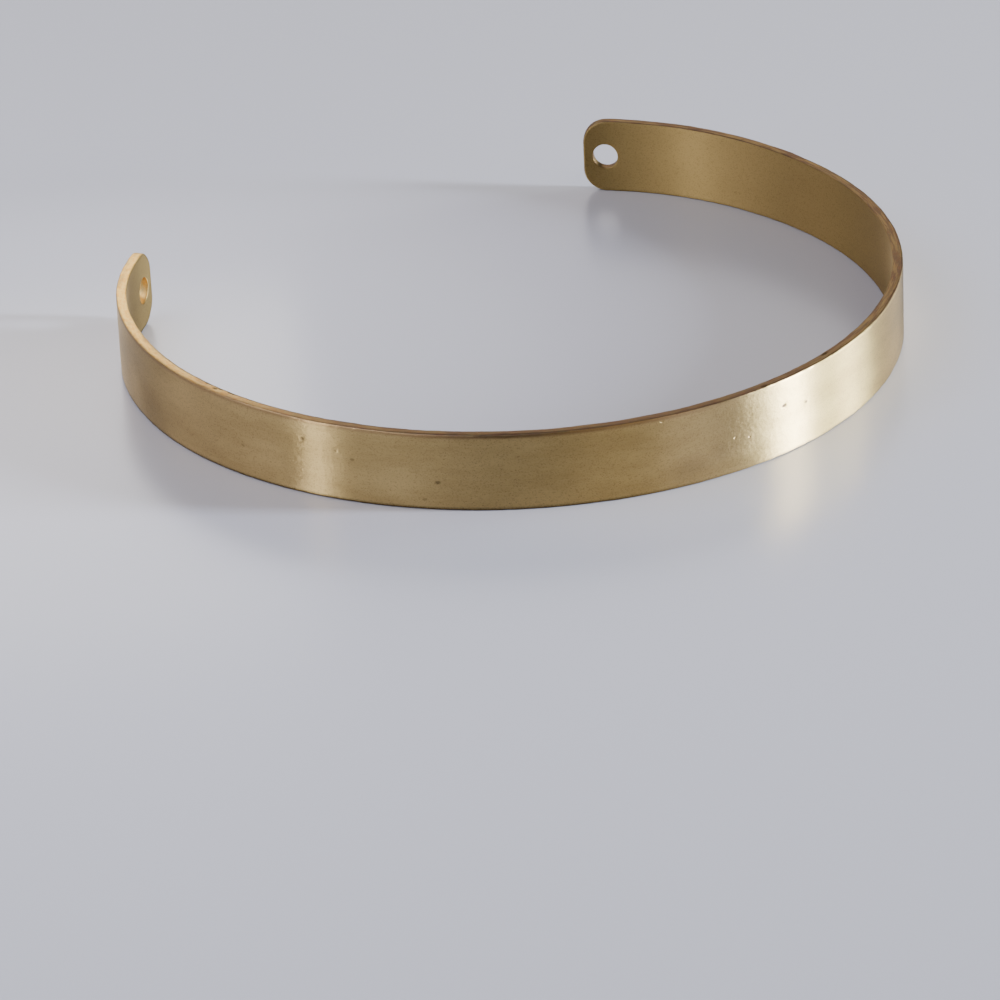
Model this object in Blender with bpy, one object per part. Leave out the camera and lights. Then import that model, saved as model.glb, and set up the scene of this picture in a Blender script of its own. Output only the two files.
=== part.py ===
"""Open cuff bracelet: one flat brass strip, drilled near both ends and bent into a loop.

Metres, +Z up. The cuff lies on its side as it rests on a table, with the strip's width
upright. The origin is on the table under the middle of the loop's outline. The closed
front faces -Y, and the gap between the two ends faces +Y.
"""

import math

import bmesh
import bpy
from mathutils import Matrix, Vector

# The strip before it is bent
STRIP_WIDTH = 0.0060
STRIP_THICKNESS = 0.00085
CORNER_RADIUS = 0.0019          # rounding of the corners at both ends
RIM_RADIUS = 0.00014            # softened edge all round both faces
HOLE_DIAMETER = 0.0020
HOLE_TO_END = 0.0008            # metal left between a hole and the strip's end

# The bend: a wide front arc, and a tighter curl at each end
FRONT_INNER_RADIUS = 0.0290
CURL_INNER_RADIUS = 0.0225
FRONT_HALF_TURN = math.radians(110.4)   # from the middle of the front to where a curl starts
CURL_TURN = math.radians(31.8)

# Facets
BEND_STEP = math.radians(2.0)   # turn of one facet along the bend
CORNER_SEGMENTS = 7
RIM_SEGMENTS = 2
HOLE_SIDES = 28
SNAP_SHARE = 0.03               # a point this near a fold line, in facets, counts as on it

# Satin brass
BRASS_COLOUR = (0.56, 0.42, 0.22, 1.0)
BRASS_ROUGHNESS = 0.38

# Sizes that follow from those above
HALF_THICKNESS = STRIP_THICKNESS / 2
FRONT_RADIUS = FRONT_INNER_RADIUS + HALF_THICKNESS
CURL_RADIUS = CURL_INNER_RADIUS + HALF_THICKNESS
FRONT_HALF_LENGTH = FRONT_RADIUS * FRONT_HALF_TURN
CURL_LENGTH = CURL_RADIUS * CURL_TURN
HALF_LENGTH = FRONT_HALF_LENGTH + CURL_LENGTH
HOLE_INSET = HOLE_TO_END + HOLE_DIAMETER / 2
FACE_CORNER = min(CORNER_RADIUS, 0.49 * STRIP_WIDTH)
FACE_RIM = min(RIM_RADIUS, 0.45 * HALF_THICKNESS)
SNAP = SNAP_SHARE * CURL_RADIUS * BEND_STEP


def clear_scene():
    for thing in list(bpy.data.objects):
        bpy.data.objects.remove(thing, do_unlink=True)


def brass():
    material = bpy.data.materials.new("brass")
    material.use_nodes = True
    shader = material.node_tree.nodes["Principled BSDF"]
    shader.inputs["Base Color"].default_value = BRASS_COLOUR
    shader.inputs["Metallic"].default_value = 1.0
    shader.inputs["Roughness"].default_value = BRASS_ROUGHNESS
    material.diffuse_color = BRASS_COLOUR
    return material


def new_object(name, mesh):
    thing = bpy.data.objects.new(name, mesh)
    bpy.context.scene.collection.objects.link(thing)
    return thing


def flat_blank():
    """The strip laid out along X, its faces at +-HALF_THICKNESS in Y, its width along Z."""
    bm = bmesh.new()
    bmesh.ops.create_cube(bm, size=1.0)
    bmesh.ops.scale(bm, verts=bm.verts, vec=(2 * HALF_LENGTH, STRIP_THICKNESS, STRIP_WIDTH))
    bmesh.ops.translate(bm, verts=bm.verts, vec=(0, 0, STRIP_WIDTH / 2))
    corners = [edge for edge in bm.edges if is_across_thickness(edge)]
    bmesh.ops.bevel(bm, geom=corners, offset=FACE_CORNER, offset_type="OFFSET",
                    segments=CORNER_SEGMENTS, profile=0.5, affect="EDGES")
    mesh = bpy.data.meshes.new("blank")
    bm.to_mesh(mesh)
    bm.free()
    return new_object("blank", mesh)


def is_across_thickness(edge):
    run = edge.verts[1].co - edge.verts[0].co
    return abs(run.y) > 0.9 * run.length


def hole_cutter(side):
    """A round punch through the strip near one end; side is -1 or +1."""
    bm = bmesh.new()
    place = Matrix.Translation((side * (HALF_LENGTH - HOLE_INSET), 0, STRIP_WIDTH / 2))
    upright = Matrix.Rotation(math.pi / 2, 4, "X")
    bmesh.ops.create_cone(bm, cap_ends=True, segments=HOLE_SIDES, radius1=HOLE_DIAMETER / 2,
                          radius2=HOLE_DIAMETER / 2, depth=4 * STRIP_THICKNESS,
                          matrix=place @ upright)
    mesh = bpy.data.meshes.new("punch")
    bm.to_mesh(mesh)
    bm.free()
    cutter = new_object("punch", mesh)
    cutter.hide_render = True
    cutter.display_type = "WIRE"
    return cutter


def punched(blank):
    """The blank's mesh with both holes cut, as a bmesh."""
    cutters = [hole_cutter(-1), hole_cutter(1)]
    for cutter in cutters:
        cut = blank.modifiers.new("hole", "BOOLEAN")
        cut.operation = "DIFFERENCE"
        cut.solver = "EXACT"
        cut.object = cutter
    bpy.context.view_layer.update()
    graph = bpy.context.evaluated_depsgraph_get()
    bm = bmesh.new()
    bm.from_mesh(blank.evaluated_get(graph).to_mesh())
    for thing in cutters + [blank]:
        bpy.data.objects.remove(thing, do_unlink=True)
    return bm


def soften_rims(bm):
    """Rounds every edge where a face of the strip meets its rim or a hole's wall."""
    rims = []
    for edge in bm.edges:
        if len(edge.link_faces) == 2:
            flat = [abs(face.normal.y) > 0.99 for face in edge.link_faces]
            if flat[0] != flat[1]:
                rims.append(edge)
    bmesh.ops.bevel(bm, geom=rims, offset=FACE_RIM, offset_type="OFFSET",
                    segments=RIM_SEGMENTS, profile=0.5, affect="EDGES")


def fold_lines():
    """Places along the strip, from its middle, where one facet of the bend meets the next."""
    front_facets = max(1, round(2 * FRONT_HALF_TURN / BEND_STEP))
    curl_facets = max(1, round(CURL_TURN / BEND_STEP))
    front = [FRONT_HALF_LENGTH * (2 * i / front_facets - 1) for i in range(front_facets + 1)]
    curl = [FRONT_HALF_LENGTH + CURL_LENGTH * i / curl_facets for i in range(1, curl_facets)]
    return [-x for x in reversed(curl)] + front + curl


def score(bm):
    for x in fold_lines():
        everything = bm.verts[:] + bm.edges[:] + bm.faces[:]
        bmesh.ops.bisect_plane(bm, geom=everything, dist=SNAP, plane_co=(x, 0, 0),
                               plane_no=(1, 0, 0))
    bmesh.ops.triangulate(bm, faces=bm.faces, quad_method="BEAUTY", ngon_method="BEAUTY")


def bent(along, outward, height):
    """Where a point of the flat strip goes: the middle of the front lies at -Y."""
    side = math.copysign(1.0, along)
    past_front = abs(along) - FRONT_HALF_LENGTH
    if past_front <= 0:
        turn = along / FRONT_RADIUS
        centre = Vector((0, 0, height))
        radius = FRONT_RADIUS
    else:
        turn = side * (FRONT_HALF_TURN + past_front / CURL_RADIUS)
        inward = FRONT_RADIUS - CURL_RADIUS
        centre = Vector((side * inward * math.sin(FRONT_HALF_TURN),
                         -inward * math.cos(FRONT_HALF_TURN), height))
        radius = CURL_RADIUS
    radius += outward
    return centre + Vector((radius * math.sin(turn), -radius * math.cos(turn), 0))


def bend(bm):
    for vert in bm.verts:
        vert.co = bent(vert.co.x, -vert.co.y, vert.co.z)
    depths = [vert.co.y for vert in bm.verts]
    middle = (min(depths) + max(depths)) / 2
    bmesh.ops.translate(bm, verts=bm.verts, vec=(0, -middle, 0))
    bmesh.ops.recalc_face_normals(bm, faces=bm.faces)


def cuff():
    bm = punched(flat_blank())
    soften_rims(bm)
    score(bm)
    bend(bm)
    mesh = bpy.data.meshes.new("cuff")
    bm.to_mesh(mesh)
    bm.free()
    mesh.materials.append(brass())
    mesh.shade_smooth()
    mesh.set_sharp_from_angle(angle=math.radians(40))
    return new_object("cuff", mesh)


clear_scene()
cuff()
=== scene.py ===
"""Looks of an open brass cuff: the worn satin strip, built finely where the plain solid lies.

Metres, +Z up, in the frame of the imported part. The strip is first made flat, as a mesh in
strip coordinates: along it from the middle of the front, across it from its middle line,
and outward through its thickness. Its wear is put in there, and then it is bent.
"""

import math
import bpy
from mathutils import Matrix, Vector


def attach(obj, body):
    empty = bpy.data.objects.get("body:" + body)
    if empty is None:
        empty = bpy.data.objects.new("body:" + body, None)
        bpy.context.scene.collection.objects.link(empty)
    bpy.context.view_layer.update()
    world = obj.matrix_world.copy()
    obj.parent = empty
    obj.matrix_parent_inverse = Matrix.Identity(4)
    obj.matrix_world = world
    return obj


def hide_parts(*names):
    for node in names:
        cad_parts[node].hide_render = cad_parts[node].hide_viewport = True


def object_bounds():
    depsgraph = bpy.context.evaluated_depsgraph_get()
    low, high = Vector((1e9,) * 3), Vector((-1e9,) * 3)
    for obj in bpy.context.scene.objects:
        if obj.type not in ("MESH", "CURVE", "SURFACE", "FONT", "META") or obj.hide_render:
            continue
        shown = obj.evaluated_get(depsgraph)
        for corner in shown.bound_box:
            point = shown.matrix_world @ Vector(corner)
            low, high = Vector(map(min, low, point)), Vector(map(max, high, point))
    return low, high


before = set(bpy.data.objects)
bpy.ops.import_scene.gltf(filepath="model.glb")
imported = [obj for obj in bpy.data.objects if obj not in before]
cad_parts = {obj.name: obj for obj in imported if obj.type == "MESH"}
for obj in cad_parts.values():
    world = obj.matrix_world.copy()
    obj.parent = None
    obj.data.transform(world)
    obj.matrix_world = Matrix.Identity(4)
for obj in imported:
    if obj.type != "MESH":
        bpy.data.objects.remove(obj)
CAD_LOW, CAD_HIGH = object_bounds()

from types import SimpleNamespace

import bmesh
import bpy
import numpy as np
from mathutils import Matrix, Vector, noise

MM = 0.001
MICRON = 1e-6

# The strip, as the solid has it
STRIP_WIDTH = CAD_HIGH.z - CAD_LOW.z
STRIP_THICKNESS = 0.85 * MM
CORNER_RADIUS = 1.9 * MM
HOLE_RADIUS = 1.0 * MM
HOLE_TO_END = 0.8 * MM
FRONT_INNER_RADIUS = 29.0 * MM
CURL_INNER_RADIUS = 22.5 * MM
FRONT_HALF_TURN = math.radians(110.4)
CURL_TURN = math.radians(31.8)

HALF_WIDTH = STRIP_WIDTH / 2
HALF_THICKNESS = STRIP_THICKNESS / 2
FRONT_RADIUS = FRONT_INNER_RADIUS + HALF_THICKNESS
CURL_RADIUS = CURL_INNER_RADIUS + HALF_THICKNESS
FRONT_HALF_LENGTH = FRONT_RADIUS * FRONT_HALF_TURN
HALF_LENGTH = FRONT_HALF_LENGTH + CURL_RADIUS * CURL_TURN
HOLE_PLACE = HALF_LENGTH - HOLE_TO_END - HOLE_RADIUS
FRONT_CENTRE_Y = CAD_LOW.y + FRONT_RADIUS + HALF_THICKNESS

# Where the upper rim and the outer face lie, in mm, as the materials read the strip's places
RIM_LEVEL = HALF_WIDTH / MM
FACE_LEVEL = HALF_THICKNESS / MM

# Mesh
CELL = 0.17 * MM
END_ZONE = 4.8 * MM             # the stretch at each end whose mesh runs round the hole
ROUND_STEPS = 4                 # rows over one rounded edge of the rim
FLAT_STEPS = 3                  # rows over the rim between its rounded edges
RING_STEPS = 14                 # rings between the hole and the end's outline
RIM_RADIUS = 0.14 * MM
SHARPEST_RIM = 0.05 * MM        # wear leaves the rim's radius between these two
ROUNDEST_RIM = 0.3 * MM
HOLE_RIM_RADIUS = 0.08 * MM
WELD = 0.0001 * MM
RIM_FACING = 0.6                # what faces in or out less than this has the rim's finish

# Camera, as in the photograph, whose frame is 1000 pixels square. Angles are in degrees
CAMERA_TARGET = Vector((-15.91, -18.56, 0.0)) * MM
CAMERA_DISTANCE = 431.9 * MM
CAMERA_AZIMUTH = -31.55
CAMERA_ELEVATION = 26.18
CAMERA_ROLL = -2.59
FOCAL_PIXELS = 6000
FRAME_PIXELS = 1000
SENSOR_MM = 36.0
CLIP_NEAR = 10 * MM
CLIP_FAR = 20.0


def bend_angle(along):
    """The turn, about +Z, of the strip's outward side at places along it."""
    past = np.abs(along) - FRONT_HALF_LENGTH
    curled = np.sign(along) * (FRONT_HALF_TURN + past / CURL_RADIUS)
    return np.where(past <= 0, along / FRONT_RADIUS, curled)


def bend(flat):
    """Moves points from strip coordinates to the frame."""
    along, across, outward = flat.T
    turn = bend_angle(along)
    in_curl = np.abs(along) > FRONT_HALF_LENGTH
    inward = np.where(in_curl, FRONT_RADIUS - CURL_RADIUS, 0.0)
    radius = np.where(in_curl, CURL_RADIUS, FRONT_RADIUS) + outward
    side = np.sign(along)
    x = side * inward * math.sin(FRONT_HALF_TURN) + radius * np.sin(turn)
    y = -inward * math.cos(FRONT_HALF_TURN) - radius * np.cos(turn)
    z = across + HALF_WIDTH
    return np.column_stack((x, y + FRONT_CENTRE_Y, CAD_LOW.z + np.maximum(z, 0.0)))


def strip_axes(along):
    """Unit vectors along the strip and across it, at places along it."""
    turn = bend_angle(along)
    zero = np.zeros_like(turn)
    run = np.column_stack((np.cos(turn), np.sin(turn), zero))
    up = np.column_stack((zero, zero, zero + 1))
    return run, up


def steps(length):
    """How many of the mesh's cells a length is cut into."""
    return max(2, round(length / CELL))


def wobble(places, wavelength, seed):
    """Smooth noise, about -0.5 to 0.5, at places along a line."""
    values = [noise.noise(Vector((place / wavelength, seed, 0.0))) for place in places.ravel()]
    return np.array(values).reshape(places.shape)


def field(points, wavelengths, seed):
    """Smooth noise at strip points, with one wavelength along and one across."""
    long, wide = wavelengths
    values = [noise.noise(Vector((p[0] / long, p[1] / wide, seed + p[2] / wide))) for p in points]
    return np.array(values)


def hump(places, middle, half_width):
    """A smooth rise from 0 to 1 at a middle and back to 0."""
    return np.exp(-((places - middle) / half_width) ** 2)


# Where the rim's edges are worn rounder: place along the strip, half width, extra radius
WORN_EDGES = (
    {"along": -17.5 * MM, "half_width": 6.0 * MM, "extra": 0.13 * MM},
    {"along": 22.0 * MM, "half_width": 9.0 * MM, "extra": 0.05 * MM},
    {"along": -54.0 * MM, "half_width": 8.0 * MM, "extra": 0.06 * MM},
)


def rim_radius(along, upper, outer):
    """Radius of the rim's rounded edge: upper runs from 0 at the lower rim to 1 at the upper."""
    seed = 3.0 + 5.0 * outer
    slow = wobble(along, 2.5 * MM, seed)
    quick = wobble(along, 0.7 * MM, seed + 1)
    radius = RIM_RADIUS * (1 + 0.5 * slow + 0.3 * quick)
    if outer:
        for worn in WORN_EDGES:
            radius = radius + upper * worn["extra"] * hump(along, worn["along"], worn["half_width"])
    return np.clip(radius, SHARPEST_RIM, ROUNDEST_RIM)


def grid_faces(rows, columns, start):
    """Quads over a grid of points numbered row by row from start."""
    index = start + np.arange(rows * columns).reshape(rows, columns)
    return np.column_stack((index[:-1, :-1].ravel(), index[1:, :-1].ravel(),
                            index[1:, 1:].ravel(), index[:-1, 1:].ravel()))


class Flat:
    """Collects patches of the flat strip's surface, which meet at shared points."""

    def __init__(self):
        self.points = []
        self.quads = []
        self.count = 0

    def add(self, grid):
        rows, columns, _ = grid.shape
        self.points.append(grid.reshape(-1, 3))
        self.quads.append(grid_faces(rows, columns, self.count))
        self.count += rows * columns


def edge_profile(outer_radius, inner_radius):
    """Rows over a rounded edge, from the outer face to the inner: inset and outward place."""
    turns = [math.pi / 2 * i / ROUND_STEPS for i in range(ROUND_STEPS + 1)]
    rows = []
    for a in turns:
        inset = outer_radius * (1 - math.sin(a))
        rows.append((inset, HALF_THICKNESS - outer_radius * (1 - math.cos(a))))
    top = HALF_THICKNESS - outer_radius
    bottom = inner_radius - HALF_THICKNESS
    for i in range(1, FLAT_STEPS):
        rows.append((np.zeros_like(top), top + (bottom - top) * i / FLAT_STEPS))
    for a in turns:
        inset = inner_radius * (1 - math.cos(a))
        rows.append((inset, bottom - inner_radius * math.sin(a)))
    return rows


def ribbon(base, normal, outer_radius, inner_radius):
    """The rounded surface through the thickness along a line of outline points."""
    rows = []
    for inset, outward in edge_profile(outer_radius, inner_radius):
        flat = base - normal * inset[:, None]
        rows.append(np.column_stack((flat, outward)))
    return np.array(rows)


def body_edges(along, outer):
    """Lower and upper ends of the face's rows at places along the straight part."""
    low = rim_radius(along, np.zeros_like(along), outer) - HALF_WIDTH
    high = HALF_WIDTH - rim_radius(along, np.ones_like(along), outer)
    return low, high


def end_outline(side):
    """Outline points and normals round one end, from the lower long side to the upper."""
    body_end = HALF_LENGTH - END_ZONE
    corner_along = HALF_LENGTH - CORNER_RADIUS
    corner_across = HALF_WIDTH - CORNER_RADIUS
    run = np.linspace(body_end, corner_along, steps(corner_along - body_end) + 1)
    turn = np.linspace(0, math.pi / 2, steps(CORNER_RADIUS * math.pi / 2) + 1)
    rise = np.linspace(-corner_across, corner_across, steps(2 * corner_across) + 1)
    lower = np.column_stack((run, 0 * run - HALF_WIDTH, 0 * run, 0 * run - 1))
    corner = np.column_stack((corner_along + CORNER_RADIUS * np.sin(turn),
                              -corner_across - CORNER_RADIUS * np.cos(turn),
                              np.sin(turn), -np.cos(turn)))
    end = np.column_stack((0 * rise + HALF_LENGTH, rise, 0 * rise + 1, 0 * rise))
    to_upper = np.array((1, -1, 1, -1))
    path = np.vstack((lower, corner[1:], end[1:-1],
                      corner[::-1] * to_upper, lower[::-1][1:] * to_upper))
    path[:, (0, 2)] *= side
    return path[:, :2], path[:, 2:]


def add_body(flat):
    """The long stretch between the two end zones: both faces and both rims."""
    body_end = HALF_LENGTH - END_ZONE
    along = np.linspace(-body_end, body_end, steps(2 * body_end) + 1)
    rows = np.linspace(0, 1, steps(STRIP_WIDTH) + 1)[:, None]
    for outer, outward in ((1, HALF_THICKNESS), (0, -HALF_THICKNESS)):
        low, high = body_edges(along, outer)
        across = low + (high - low) * rows
        grid = np.stack((np.broadcast_to(along, across.shape), across,
                         np.full(across.shape, outward)), axis=-1)
        flat.add(grid)
    for upper in (0, 1):
        side = 2 * upper - 1
        base = np.column_stack((along, np.full_like(along, side * HALF_WIDTH)))
        normal = np.column_stack((0 * along, np.full_like(along, side)))
        level = np.full_like(along, upper)
        flat.add(ribbon(base, normal, rim_radius(along, level, 1), rim_radius(along, level, 0)))


def add_end(flat, side):
    """The stretch round one hole: rings from the outline in to the hole, on both faces."""
    base, normal = end_outline(side)
    upper = (base[:, 1] / HALF_WIDTH + 1) / 2
    radii = {outer: rim_radius(base[:, 0], upper, outer) for outer in (1, 0)}
    flat.add(ribbon(base, normal, radii[1], radii[0]))
    hole = np.array((side * HOLE_PLACE, 0.0))
    body_end = side * (HALF_LENGTH - END_ZONE)
    shares = np.linspace(1, 0, steps(STRIP_WIDTH) + 1)
    level = np.column_stack((np.full_like(shares, body_end), (2 * shares - 1) * HALF_WIDTH))
    ray = np.vstack((base, level[1:])) - hole
    ray /= np.linalg.norm(ray, axis=1)[:, None]
    lip_radius = np.full(len(ray), HOLE_RIM_RADIUS)
    flat.add(ribbon(hole + ray * HOLE_RADIUS, -ray, lip_radius, lip_radius))
    lip = hole + ray * (HOLE_RADIUS + HOLE_RIM_RADIUS)
    shares_in = np.linspace(0, 1, RING_STEPS + 1)[:, None, None]
    for outer, outward in ((1, HALF_THICKNESS), (0, -HALF_THICKNESS)):
        low, high = body_edges(np.array([body_end]), outer)
        seam = np.column_stack((np.full_like(shares, body_end), low + (high - low) * shares))
        loop = np.vstack((base - normal * radii[outer][:, None], seam[1:]))
        rings = loop + (lip - loop) * shares_in
        flat.add(np.dstack((rings, np.full(rings.shape[:2], outward))))


def flat_strip():
    """The whole flat strip as one closed mesh in strip coordinates."""
    flat = Flat()
    add_body(flat)
    add_end(flat, -1)
    add_end(flat, 1)
    mesh = bpy.data.meshes.new("cuff_body")
    mesh.from_pydata(np.vstack(flat.points).tolist(), [], np.vstack(flat.quads).tolist())
    bm = bmesh.new()
    bm.from_mesh(mesh)
    bmesh.ops.remove_doubles(bm, verts=bm.verts, dist=WELD)
    bmesh.ops.recalc_face_normals(bm, faces=bm.faces)
    bm.to_mesh(mesh)
    bm.free()
    return mesh


def read_vectors(items, name):
    """A vector of each item, as rows of an array."""
    values = np.zeros(3 * len(items), np.float32)
    items.foreach_get(name, values)
    return values.reshape(-1, 3).astype(float)


def write_vectors(mesh, name, values):
    """Keeps a vector for each point of the mesh, which the materials read by its name."""
    attribute = mesh.attributes.new(name, "FLOAT_VECTOR", "POINT")
    attribute.data.foreach_set("vector", np.asarray(values, np.float32).ravel())


# Small pits in the outer face: place along the strip, height over its middle, radius, darkness
PITS = (
    {"along": -32.3 * MM, "across": 1.4 * MM, "radius": 0.12 * MM, "dark": 0.55},
    {"along": -28.3 * MM, "across": 0.4 * MM, "radius": 0.11 * MM, "dark": 0.45},
    {"along": -22.0 * MM, "across": -0.8 * MM, "radius": 0.13 * MM, "dark": 0.60},
    {"along": -23.0 * MM, "across": -2.2 * MM, "radius": 0.10 * MM, "dark": 0.35},
    {"along": -37.7 * MM, "across": -0.5 * MM, "radius": 0.10 * MM, "dark": 0.30},
    {"along": -29.6 * MM, "across": 0.9 * MM, "radius": 0.07 * MM, "dark": 0.45},
    {"along": 4.7 * MM, "across": 0.9 * MM, "radius": 0.13 * MM, "dark": 1.0},
    {"along": 7.0 * MM, "across": 0.4 * MM, "radius": 0.10 * MM, "dark": 0.9},
)

# Small bright dents in the outer face: place along the strip, height over its middle, radius
FLECKS = (
    {"along": -5.75 * MM, "across": 2.6 * MM, "radius": 0.07 * MM},
    {"along": 0.1 * MM, "across": -0.2 * MM, "radius": 0.06 * MM},
    {"along": 1.4 * MM, "across": -0.5 * MM, "radius": 0.05 * MM},
)

# Nicks in the upper rim: place along the strip, outward place, half length, depth
NICKS = (
    {"along": -41.9 * MM, "outward": -0.27 * MM, "half_length": 0.35 * MM, "depth": 0.01 * MM},
    {"along": -40.8 * MM, "outward": -0.05 * MM, "half_length": 0.22 * MM, "depth": 0.02 * MM},
    {"along": -40.4 * MM, "outward": -0.26 * MM, "half_length": 0.28 * MM, "depth": 0.02 * MM},
    {"along": -39.2 * MM, "outward": -0.26 * MM, "half_length": 0.40 * MM, "depth": 0.03 * MM},
    {"along": -37.4 * MM, "outward": -0.32 * MM, "half_length": 0.35 * MM, "depth": 0.01 * MM},
    {"along": 3.0 * MM, "outward": 0.20 * MM, "half_length": 0.28 * MM, "depth": 0.03 * MM},
    {"along": 9.9 * MM, "outward": -0.16 * MM, "half_length": 0.34 * MM, "depth": 0.04 * MM},
)
NICK_WIDTH = 0.14 * MM
NICK_DROP = 0.6                 # how fast a nick fades down the face, as a share of its width
PIT_DEPTH = 0.2                 # as a share of a pit's radius
PIT_STRETCH = 1.5               # how much longer than wide its dark spot is

# Heights of the waves that wear leaves: long and short ones in the faces, and the rim's own
FACE_WAVE = 22 * MICRON
FACE_RIPPLE = 7 * MICRON
RIM_WAVE = 14 * MICRON


def wear(points, normals):
    """The flat strip's points as wear leaves them: wear only takes metal away."""
    face = np.abs(normals[:, 2]) > 0.9
    outer = normals[:, 2] > 0.5
    push = np.where(face, 1.0, 0.5) * (
        FACE_WAVE * field(points, (7 * MM, 4 * MM), 11.0)
        + FACE_RIPPLE * field(points, (1.6 * MM, 1.2 * MM), 23.0))
    push += np.where(face, 0.0, RIM_WAVE) * field(points, (1.2 * MM, 0.9 * MM), 31.0)
    push -= push.max()
    for pit in PITS:
        away = np.hypot(points[:, 0] - pit["along"], points[:, 1] - pit["across"]) / pit["radius"]
        push -= PIT_DEPTH * pit["radius"] * np.exp(-away ** 2) * outer
    moved = points + normals * push[:, None]
    for nick in NICKS:
        away = np.hypot((points[:, 0] - nick["along"]) / nick["half_length"],
                        (points[:, 2] - nick["outward"]) / NICK_WIDTH)
        away = np.hypot(away, NICK_DROP * (HALF_WIDTH - points[:, 1]) / NICK_WIDTH)
        moved[:, 1] -= nick["depth"] * np.exp(-away ** 2)
    return moved


def grain_lines(points, normals):
    """The brushed grain's direction in the frame: along the faces, and round the rim."""
    along, across = np.abs(points[:, 0]), points[:, 1]
    past = along - (HALF_LENGTH - CORNER_RADIUS)
    high = np.abs(across) - (HALF_WIDTH - CORNER_RADIUS)
    lean = np.arctan2(np.clip(past, 0, None), np.clip(high, 0, None))
    on_rim = np.abs(normals[:, 2]) < 0.5
    lean = np.where(on_rim, lean, 0.0)
    sign = -np.sign(points[:, 0]) * np.sign(across)
    run, up = strip_axes(points[:, 0])
    return run * np.cos(lean)[:, None] + up * (sign * np.sin(lean))[:, None]


def cuff_mesh():
    """The worn and bent strip. Its faces have the first material, and its rim the second."""
    mesh = flat_strip()
    points = read_vectors(mesh.vertices, "co")
    normals = read_vectors(mesh.vertex_normals, "vector")
    facing = np.abs(read_vectors(mesh.polygon_normals, "vector")[:, 2])
    mesh.polygons.foreach_set("material_index", (facing < RIM_FACING).astype(np.int32))
    mesh.vertices.foreach_set("co", bend(wear(points, normals)).astype(np.float32).ravel())
    write_vectors(mesh, "strip", points / MM)
    write_vectors(mesh, "grain", grain_lines(points, normals))
    mesh.update()
    mesh.shade_smooth()
    return mesh


def link(thing):
    """Puts a new object in the scene."""
    bpy.context.scene.collection.objects.link(thing)
    return thing


def add_camera():
    """The photograph's view: turned round the cuff, tipped down, and rolled a little."""
    back = direction(0, CAMERA_ELEVATION)
    data = bpy.data.cameras.new("camera")
    data.sensor_width = SENSOR_MM
    data.lens = SENSOR_MM * FOCAL_PIXELS / FRAME_PIXELS
    data.clip_start = CLIP_NEAR
    data.clip_end = CLIP_FAR
    camera = link(bpy.data.objects.new("camera", data))
    camera.location = CAMERA_TARGET + back * CAMERA_DISTANCE
    aim = (-back).to_track_quat("-Z", "Y").to_matrix().to_4x4()
    camera.matrix_world = (Matrix.Translation(camera.location) @ aim
                           @ Matrix.Rotation(math.radians(CAMERA_ROLL), 4, "Z"))
    bpy.context.scene.camera = camera


# Soft lights round the cuff. Their place is where their middle is seen from the cuff: turn is
# the angle from the camera's side, positive to its right, and height the angle over the floor.
# Wide and tall are angles too, and radiance is the brightness of the light's own face. A light
# points at the cuff's middle and shines all round, unless it has an aim and a spread.
FAR = 800 * MM
LEFT_END = Vector((-28, 8, 6)) * MM
LIGHTS = (
    {"name": "strip_right", "turn": 82.5, "height": 12, "wide": 6.5, "tall": 24, "distance": FAR,
     "radiance": (148.0, 164.0, 210.0)},
    {"name": "window_right", "turn": 94, "height": 8, "wide": 45, "tall": 12, "distance": FAR,
     "radiance": (24.0, 28.0, 28.0)},
    {"name": "pane_right", "turn": 105.5, "height": 8, "wide": 8, "tall": 12, "distance": FAR,
     "radiance": (30.0, 31.0, 36.0)},
    {"name": "card_right", "turn": 130, "height": 8, "wide": 26, "tall": 12, "distance": FAR,
     "radiance": (4.1, 4.2, 4.3)},
    {"name": "fill_right", "turn": 56, "height": 22, "wide": 28, "tall": 22, "distance": FAR,
     "radiance": (1.9, 2.0, 2.9)},
    {"name": "high_right", "turn": 40, "height": 52, "wide": 45, "tall": 30, "distance": FAR,
     "radiance": (1.9, 1.7, 1.2)},
    {"name": "window_left", "turn": -57, "height": 15, "wide": 5, "tall": 24, "distance": FAR,
     "radiance": (15.0, 15.3, 16.5)},
    {"name": "wall_left", "turn": -90, "height": 22, "wide": 45, "tall": 22, "distance": FAR,
     "radiance": (1.2, 1.15, 1.4)},
    {"name": "high_left", "turn": -67, "height": 52, "wide": 80, "tall": 30, "distance": 200 * MM,
     "radiance": (3.1, 3.2, 3.9)},
    {"name": "card_back", "turn": 180, "height": 24, "wide": 34, "tall": 22, "distance": FAR,
     "radiance": (1.5, 1.4, 1.4)},
    {"name": "overhead", "turn": 0, "height": 86, "wide": 50, "tall": 50, "distance": FAR,
     "radiance": (0.8, 0.8, 0.8)},
    {"name": "back_left", "turn": -136, "height": 19, "wide": 66, "tall": 24, "distance": FAR,
     "radiance": (0.8, 0.77, 0.85)},
    {"name": "glow_left", "turn": -136, "height": 26, "wide": 36, "tall": 24, "distance": 58 * MM,
     "radiance": (1.1, 1.06, 1.02), "aim": LEFT_END, "spread": 120},
)


def direction(turn, height):
    """The unit vector from the cuff towards a place turned from the camera's side."""
    a = math.radians(CAMERA_AZIMUTH) + math.radians(turn)
    e = math.radians(height)
    return Vector((math.sin(a) * math.cos(e), -math.cos(a) * math.cos(e), math.sin(e)))


def span(degrees, distance):
    """The width that fills an angle at a distance."""
    return 2 * distance * math.tan(math.radians(degrees / 2))


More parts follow.
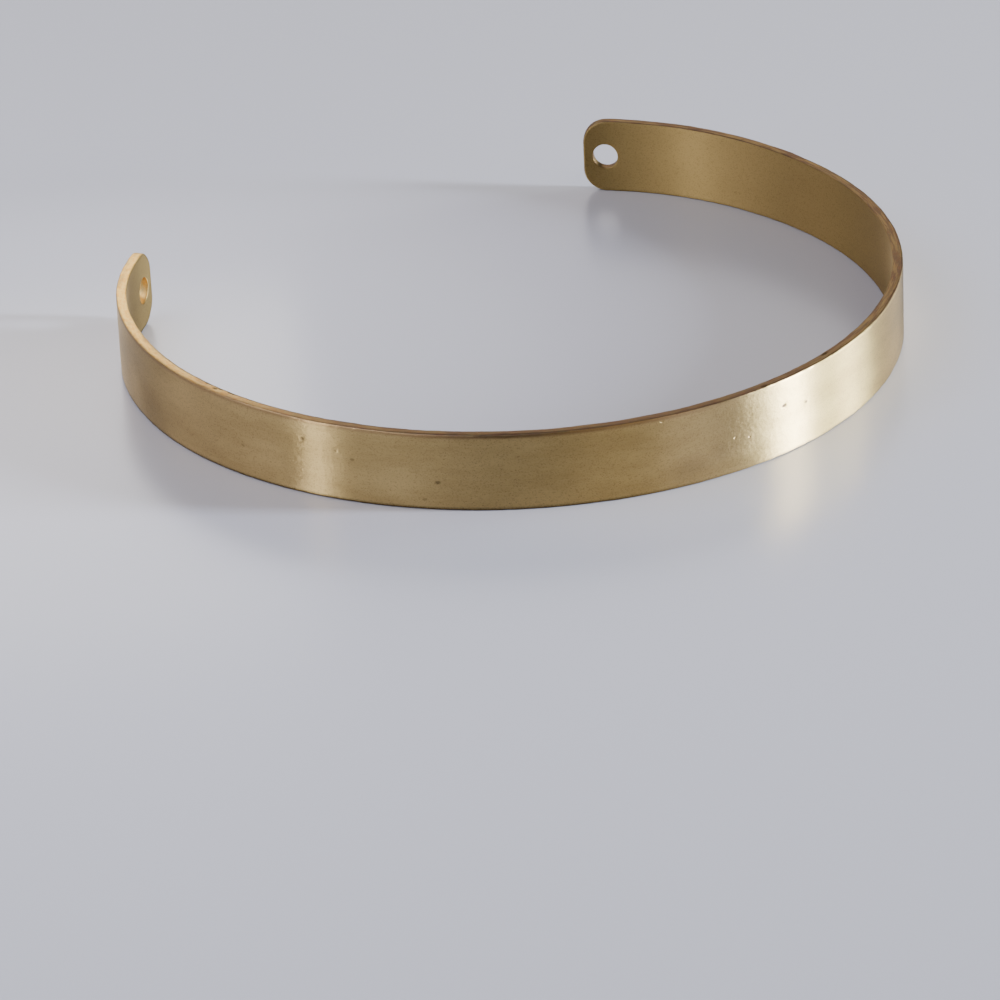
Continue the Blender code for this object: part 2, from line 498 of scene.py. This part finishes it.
def softbox(light):
    """An area light, which the camera itself doesn't see."""
    strongest = max(light["radiance"])
    data = bpy.data.lights.new(light["name"], "AREA")
    data.shape = "RECTANGLE"
    data.size = span(light["wide"], light["distance"]) * math.cos(math.radians(light["height"]))
    data.size_y = span(light["tall"], light["distance"])
    data.energy = strongest * math.pi * data.size * data.size_y
    data.color = [part / strongest for part in light["radiance"]]
    data.spread = math.radians(light.get("spread", 180))
    lamp = link(bpy.data.objects.new(light["name"], data))
    lamp.location = direction(light["turn"], light["height"]) * light["distance"]
    lamp.rotation_mode = "QUATERNION"
    lamp.rotation_quaternion = (lamp.location - light.get("aim", Vector())).to_track_quat("Z", "Y")
    lamp.visible_camera = False


class Nodes:
    """Short ways to build a node material."""

    def __init__(self, tree):
        self.tree = tree

    def add(self, kind, settings=None, **inputs):
        """A new node. Its inputs are named as in Blender, or i0, i1 and so on by number."""
        made = self.tree.nodes.new(kind)
        for name, value in (settings or {}).items():
            setattr(made, name, value)
        for name, value in inputs.items():
            numbered = name[0] == "i" and name[1:].isdigit()
            self.put(made, int(name[1:]) if numbered else name.replace("_", " "), value)
        return made

    def put(self, made, name, value):
        """Links another node's output to an input, or sets the input itself."""
        socket = made.inputs[name]
        if isinstance(value, bpy.types.NodeSocket):
            self.tree.links.new(value, socket)
        else:
            socket.default_value = value

    def math(self, operation, a, b):
        return self.add("ShaderNodeMath", {"operation": operation}, i0=a, i1=b).outputs[0]

    def times(self, a, b):
        return self.math("MULTIPLY", a, b)

    def total(self, start, terms):
        """A starting value plus each value times its weight."""
        found = start
        for value, weight in terms:
            found = self.math("ADD", found, self.times(value, weight))
        return found

    def vector(self, operation, a, b):
        return self.add("ShaderNodeVectorMath", {"operation": operation}, i0=a, i1=b).outputs[0]

    def length(self, vector):
        made = self.add("ShaderNodeVectorMath", {"operation": "LENGTH"}, i0=vector)
        return made.outputs["Value"]

    def split(self, vector):
        """A vector's three parts."""
        return tuple(self.add("ShaderNodeSeparateXYZ", None, Vector=vector).outputs)

    def read(self, name):
        """A vector that the mesh keeps for each of its points."""
        return self.add("ShaderNodeAttribute", {"attribute_name": name}).outputs["Vector"]

    def noise(self, vector, stretch, detail, roughness, seed):
        """Noise about 0.5 with the given number of blobs for each mm along, across, through."""
        scaled = self.vector("MULTIPLY", vector, stretch)
        moved = self.vector("ADD", scaled, (seed, 1.7 * seed, 0.3 * seed))
        made = self.add("ShaderNodeTexNoise", None, Vector=moved, Scale=1.0, Detail=detail,
                        Roughness=roughness)
        return made.outputs["Fac"]

    def ramp(self, value, low, high, to_low=0.0, to_high=1.0):
        """A smooth step from one value to another, between two values of the input."""
        made = self.add("ShaderNodeMapRange", {"interpolation_type": "SMOOTHSTEP"}, Value=value,
                        From_Min=low, From_Max=high, To_Min=to_low, To_Max=to_high)
        return made.outputs[0]

    def mix(self, share, a, b):
        """From colour a, at a share of 0, to colour b."""
        made = self.add("ShaderNodeMix", {"data_type": "RGBA"}, i0=share)
        self.put(made, 6, a)
        self.put(made, 7, b)
        return made.outputs[2]

    def layers(self, colour, layers):
        """A colour with others over it, each by its share, from the lowest up."""
        for share, over in layers:
            colour = self.mix(share, colour, over)
        return colour

    def bump(self, relief):
        """The normal of a surface raised by a height in microns."""
        made = self.add("ShaderNodeBump", None, Strength=1.0, Distance=MICRON, Height=relief)
        return made.outputs[0]

    def spot(self, strip, middle, half_size, soft):
        """1 near a middle, within half sizes in mm along, across and through, and 0 past them."""
        away = self.vector("DIVIDE", self.vector("SUBTRACT", strip, middle), half_size)
        return self.ramp(self.length(away), 1 + soft, 1 - soft)

    def most(self, values):
        """The largest of several values."""
        found = values[0]
        for value in values[1:]:
            found = self.math("MAXIMUM", found, value)
        return found


# Colours: the faces' brass, the bare and the tarnished rim, and dirt; the darkest dirt also paints
# the contact shade along the lower edge
BRASS = (0.60, 0.427, 0.175, 1)
BRASS_DULL = (0.47, 0.328, 0.127, 1)
BRASS_PALE = (0.66, 0.49, 0.22, 1)
BRASS_INSIDE = (0.45, 0.312, 0.112, 1)
BARE_RIM = (0.84, 0.58, 0.19, 1)
BARE_ORANGE = (0.80, 0.46, 0.10, 1)
TARNISH = (0.185, 0.118, 0.078, 1)
TARNISH_OLIVE = (0.24, 0.172, 0.090, 1)
TARNISH_RED = (0.25, 0.125, 0.070, 1)
RIM_GLANCE = (0.85, 0.74, 0.60, 1)
DIRT = (0.13, 0.080, 0.038, 1)
# Dark dirt for the pits and nicks, also used as painted contact shade along the strip's lower edge
GRIME_AND_CONTACT_SHADE = (0.060, 0.040, 0.022, 1)
EDGE_LINE = (0.15, 0.11, 0.075, 1)

# The stretches over which looks change: their ends along the strip, in mm from its middle
# Over this stretch the painted contact shade along the lower edge thins out
CONTACT_SHADE_THINS = (-12.0, 2.0)
# These two set the brown band below the upper rim: real tarnish, deepened in part as painted shade
# that dims the rounded edge's highlight
BROWN_DEEPENS = (-29.0, -20.0)
BROWN_COMES = (2.0, -7.0)
BARE_COMES = (-27.0, -58.0)
OLIVE_COMES = (6.0, 16.0)
LINE_COMES = (-20.0, -27.0)
LINE_GOES = (-46.0, -56.0)

# The stage
FLOOR_COLOUR = (0.54, 0.53, 0.55, 1)
FLOOR_ROUGHNESS = 0.25
FLOOR_IOR = 1.65
FLOOR_HALF_SIZE = 3.0
ROOM_COLOUR = (0.9, 0.92, 1.0, 1)
ROOM_STRENGTH = 0.03
WALL_COLOUR = (0.62, 0.61, 0.63, 1)

# Cloudy patches on the outer face: place along the strip, height over its middle, half sizes
CLOUDS = (
    {"along": -0.9 * MM, "across": -0.8 * MM, "long": 1.0 * MM, "tall": 0.9 * MM},
    {"along": -3.6 * MM, "across": -1.6 * MM, "long": 1.6 * MM, "tall": 0.9 * MM},
    {"along": 0.4 * MM, "across": 0.6 * MM, "long": 1.6 * MM, "tall": 2.0 * MM},
    {"along": -33.0 * MM, "across": -1.2 * MM, "long": 0.8 * MM, "tall": 1.6 * MM},
    {"along": -49.5 * MM, "across": -1.2 * MM, "long": 1.8 * MM, "tall": 1.4 * MM},
)


def ragged_strip(n, reach):
    """The strip coordinates in mm, shaken by up to about reach mm, so that spots aren't round."""
    strip = n.read("strip")
    made = n.add("ShaderNodeTexNoise", None, Vector=strip, Scale=6.0, Detail=2.0)
    shake = n.add("ShaderNodeVectorMath", {"operation": "MULTIPLY_ADD"}, i0=made.outputs["Color"],
                  i1=(2 * reach,) * 3, i2=(-reach,) * 3)
    return n.vector("ADD", strip, shake.outputs[0])


def pit_spots(n, ragged, pits):
    """1 or less in the pits of a table, by how dark each is, and 0 elsewhere."""
    spots = []
    for pit in pits:
        middle = (pit["along"] / MM, pit["across"] / MM, FACE_LEVEL)
        radius = pit["radius"] / MM
        spot = n.spot(ragged, middle, (PIT_STRETCH * radius, radius, 0.3), 0.5)
        spots.append(n.times(spot, pit.get("dark", 1.0)))
    return n.most(spots)


def cloud_spots(n, ragged):
    """1 in the middle of the cloudy patches, fading to 0 round them."""
    spots = []
    for cloud in CLOUDS:
        middle = (cloud["along"] / MM, cloud["across"] / MM, FACE_LEVEL)
        spots.append(n.spot(ragged, middle, (cloud["long"] / MM, cloud["tall"] / MM, 0.5), 0.9))
    return n.most(spots)


def nick_spots(n, ragged):
    """1 in the rim's nicks, and 0 elsewhere."""
    spots = []
    for nick in NICKS:
        middle = (nick["along"] / MM, RIM_LEVEL, nick["outward"] / MM)
        half = (nick["half_length"] / MM, 0.25, 0.8 * NICK_WIDTH / MM)
        spots.append(n.spot(ragged, middle, half, 0.6))
    return n.most(spots)


def sand_noise(n, strip):
    """Fine and coarser sandy noise, for the blasted look of the satin finish."""
    fine = n.noise(strip, (8.0, 9.0, 9.0), detail=3.0, roughness=0.8, seed=15.0)
    coarse = n.noise(strip, (2.6, 3.4, 3.4), detail=2.0, roughness=0.6, seed=41.0)
    return fine, coarse


def new_material(name):
    """A new material, its node helper and its shader."""
    material = bpy.data.materials.new(name)
    material.use_nodes = True
    return material, Nodes(material.node_tree), material.node_tree.nodes["Principled BSDF"]


def face_textures(n):
    """What the faces' colour, roughness and relief share: noises, spots and places."""
    strip = n.read("strip")
    ragged = ragged_strip(n, 0.07)
    along, _, outward = n.split(strip)
    fine, coarse = sand_noise(n, strip)
    cloudy = n.noise(strip, (0.11, 0.36, 0.36), detail=5.0, roughness=0.60, seed=3.0)
    return SimpleNamespace(
        along=along,
        ragged_across=n.split(ragged)[1],
        inside=n.ramp(outward, 0.1, -0.1),
        fine=fine,
        coarse=coarse,
        cloudy=cloudy,
        streak=n.noise(strip, (0.5, 6.0, 6.0), detail=3.0, roughness=0.6, seed=8.0),
        hair=n.noise(strip, (1.4, 26.0, 26.0), detail=2.0, roughness=0.6, seed=21.0),
        pits=pit_spots(n, ragged, PITS),
        flecks=pit_spots(n, ragged, FLECKS),
        clouds=n.times(cloud_spots(n, ragged), n.ramp(cloudy, 0.2, 0.6)))


def face_colour(n, t):
    """Uneven, sandy brass, with painted contact shade low down, brown tarnish below the upper rim
    that is partly painted shade over the rounded edge's highlight, and dark pits.
    """
    # Painted contact shade: darker towards the lower edge, where the strip meets the floor
    contact_shade = n.ramp(t.ragged_across, 0.34 - RIM_LEVEL, 0.06 - RIM_LEVEL)
    contact_shade = n.times(contact_shade, n.ramp(t.along, *CONTACT_SHADE_THINS, 1.0, 0.3))
    # Brown tarnish below the upper rim, deepened in part as painted shade that dims the highlight
    # on the rounded edge
    brown = n.ramp(t.ragged_across, RIM_LEVEL - 0.42, RIM_LEVEL - 0.16)
    brown = n.times(brown, n.ramp(t.along, *BROWN_DEEPENS, 0.8, 1.0))
    brown = n.times(brown, n.ramp(t.along, *BROWN_COMES, 0.0, 0.55))
    outside = n.ramp(t.inside, 1.0, 0.0)
    return n.layers(BRASS_DULL, (
        (n.ramp(t.cloudy, 0.30, 0.70), BRASS),
        (n.ramp(t.streak, 0.42, 0.8, 0.0, 0.16), BRASS_PALE),
        (n.times(t.inside, 0.85), BRASS_INSIDE),
        (n.ramp(t.coarse, 0.52, 0.78, 0.0, 0.45), BRASS_DULL),
        (n.ramp(t.fine, 0.48, 0.80, 0.0, 0.65), DIRT),
        (n.times(t.clouds, 0.30), DIRT),
        (n.times(contact_shade, 0.85), GRIME_AND_CONTACT_SHADE),
        (n.times(brown, outside), TARNISH_RED),
        (t.pits, GRIME_AND_CONTACT_SHADE)))


def face_roughness(n, t):
    return n.total(0.26, ((t.cloudy, 0.10), (t.fine, 0.12), (t.inside, 0.28), (t.clouds, 0.06)))


def face_relief(n, t):
    """Height in microns: sand, faint hairs, pits, dents, and coarser sand in the clouds."""
    cloud_sand = n.times(t.clouds, t.coarse)
    return n.total(0.0, ((t.fine, 3.2), (t.coarse, 7.0), (t.hair, 0.4), (t.pits, -4.0),
                         (t.flecks, -20.0), (cloud_sand, 14.0)))


def face_material():
    """Satin brass, whose highlights the grain smears across the strip."""
    material, n, shader = new_material("satin_brass")
    textures = face_textures(n)
    normal = n.add("ShaderNodeNewGeometry").outputs["Normal"]
    n.put(shader, "Metallic", 1.0)
    n.put(shader, "Base Color", face_colour(n, textures))
    n.put(shader, "Roughness", face_roughness(n, textures))
    n.put(shader, "Anisotropic", 1.0)
    n.put(shader, "Tangent", n.vector("CROSS_PRODUCT", normal, n.read("grain")))
    n.put(shader, "Normal", n.bump(face_relief(n, textures)))
    return material


def rim_colour(n, strip, fine):
    """Rubbed bare towards the left end, and brown with tarnish elsewhere, with dark nicks and
    painted contact shade along the bottom.
    """
    along, across, _ = n.split(strip)
    ragged = ragged_strip(n, 0.12)
    ragged_outward = n.split(ragged)[2]
    patch = n.noise(strip, (0.45, 1.0, 1.6), detail=4.0, roughness=0.62, seed=5.0)
    stripe = n.noise(strip, (0.5, 4.0, 7.0), detail=3.0, roughness=0.6, seed=9.0)
    rubbed = n.noise(strip, (1.5, 2.0, 3.5), detail=3.0, roughness=0.65, seed=33.0)
    olive = n.times(n.ramp(stripe, 0.45, 0.62), n.ramp(along, *OLIVE_COMES, 0.2, 0.55))
    bare = n.times(n.ramp(along, *BARE_COMES), n.ramp(patch, 0.30, 0.52, 0.55, 1.0))
    inner_line = n.times(n.ramp(ragged_outward, -0.14, -0.28), n.ramp(along, *LINE_COMES))
    inner_line = n.times(inner_line, n.ramp(along, *LINE_GOES, 1.0, 0.0))
    return n.layers(TARNISH, (
        (n.ramp(patch, 0.40, 0.62), TARNISH_OLIVE),
        (n.ramp(rubbed, 0.45, 0.65, 0.0, 0.6), TARNISH_RED),
        (olive, BRASS_DULL),
        (bare, n.mix(n.ramp(rubbed, 0.42, 0.62), BARE_RIM, BARE_ORANGE)),
        (n.ramp(fine, 0.52, 0.8, 0.0, 0.5), TARNISH),
        (n.times(inner_line, 0.85), EDGE_LINE),
        # Painted contact shade: the rim darker towards the bottom, where it meets the floor
        (n.ramp(across, -RIM_LEVEL / 2, 0.1 - RIM_LEVEL, 0.0, 0.8), GRIME_AND_CONTACT_SHADE),
        (nick_spots(n, ragged), GRIME_AND_CONTACT_SHADE)))


def rim_material():
    """The cut rim and the walls of the holes, which have no grain."""
    material, n, shader = new_material("rim_brass")
    strip = n.read("strip")
    fine, coarse = sand_noise(n, strip)
    n.put(shader, "Metallic", 1.0)
    n.put(shader, "Base Color", rim_colour(n, strip, fine))
    n.put(shader, "Roughness", n.total(0.34, ((fine, 0.16),)))
    n.put(shader, "Specular Tint", RIM_GLANCE)
    n.put(shader, "Normal", n.bump(n.total(0.0, ((fine, 3.0), (coarse, 8.0)))))
    return material


def floor_material():
    """The plain pale table top, a little glossy."""
    material, n, shader = new_material("pale_floor")
    n.put(shader, "Base Color", FLOOR_COLOUR)
    n.put(shader, "Roughness", FLOOR_ROUGHNESS)
    n.put(shader, "IOR", FLOOR_IOR)
    return material


def add_floor():
    """The table top, which the camera sees and the object's own box leaves out."""
    half = FLOOR_HALF_SIZE
    mesh = bpy.data.meshes.new("floor")
    mesh.from_pydata([(-half, -half, 0), (half, -half, 0), (half, half, 0), (-half, half, 0)],
                     [], [(0, 1, 2, 3)])
    floor = link(bpy.data.objects.new("floor", mesh))
    floor.location.z = CAD_LOW.z
    mesh.materials.append(floor_material())


def add_world():
    """A dim, even room, shown pale where the camera looks past the floor."""
    world = bpy.data.worlds.new("room")
    bpy.context.scene.world = world
    world.use_nodes = True
    n = Nodes(world.node_tree)
    room = world.node_tree.nodes["Background"]
    n.put(room, "Color", ROOM_COLOUR)
    n.put(room, "Strength", ROOM_STRENGTH)
    wall = n.add("ShaderNodeBackground", None, Color=WALL_COLOUR)
    path = n.add("ShaderNodeLightPath")
    seen = n.add("ShaderNodeMixShader", None, i0=path.outputs["Is Camera Ray"],
                 i1=room.outputs[0], i2=wall.outputs[0])
    n.put(world.node_tree.nodes["World Output"], "Surface", seen.outputs[0])


cuff = link(bpy.data.objects.new("cuff_body", cuff_mesh()))
cuff.data.materials.append(face_material())
cuff.data.materials.append(rim_material())
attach(cuff, "root")
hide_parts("cuff")

add_camera()
add_floor()
add_world()
for light in LIGHTS:
    softbox(light)
